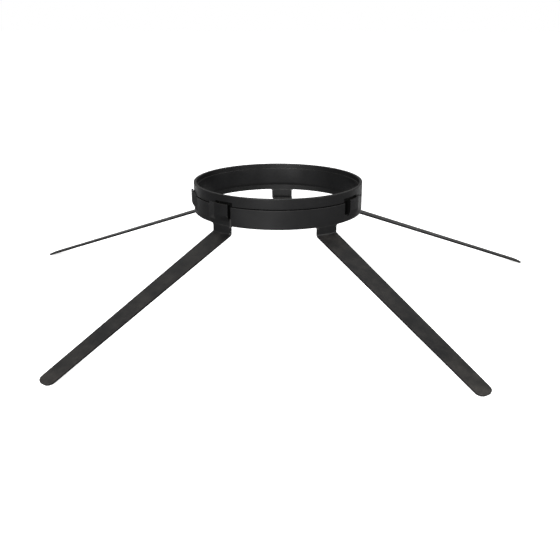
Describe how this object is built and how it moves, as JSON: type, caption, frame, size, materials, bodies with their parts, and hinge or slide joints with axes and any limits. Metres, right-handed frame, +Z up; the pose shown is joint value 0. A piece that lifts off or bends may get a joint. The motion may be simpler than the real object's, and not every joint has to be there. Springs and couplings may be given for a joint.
{
  "type": "ground stand",
  "caption": "Low ground stand: a collar ring with a recessed seat lifts off a base ring carried by splayed flat strap legs.",
  "frame": {"origin": "on the ring's axis at the level of the collar's seat ledge, where the carried object rests", "axes": "+Z up along the ring's axis, -Y is the front, between the two front legs; the back leg points to +Y"},
  "size_m": [0.6516, 0.6204, 0.1331],
  "materials": {
    "powder_coat": "satin black powder coat over mild steel sheet"
  },
  "bodies": {
    "base": {"base_ring": "powder_coat", "leg_front_right": "powder_coat", "leg_right": "powder_coat", "leg_back": "powder_coat", "leg_left": "powder_coat", "leg_front_left": "powder_coat"},
    "collar": {"collar_ring": "powder_coat"}
  },
  "joints": [
    {"name": "collar_lift", "type": "slide", "parent": "base", "child": "collar", "axis": [0, 0, 1], "range_m": [0, 0.04]}
  ]
}
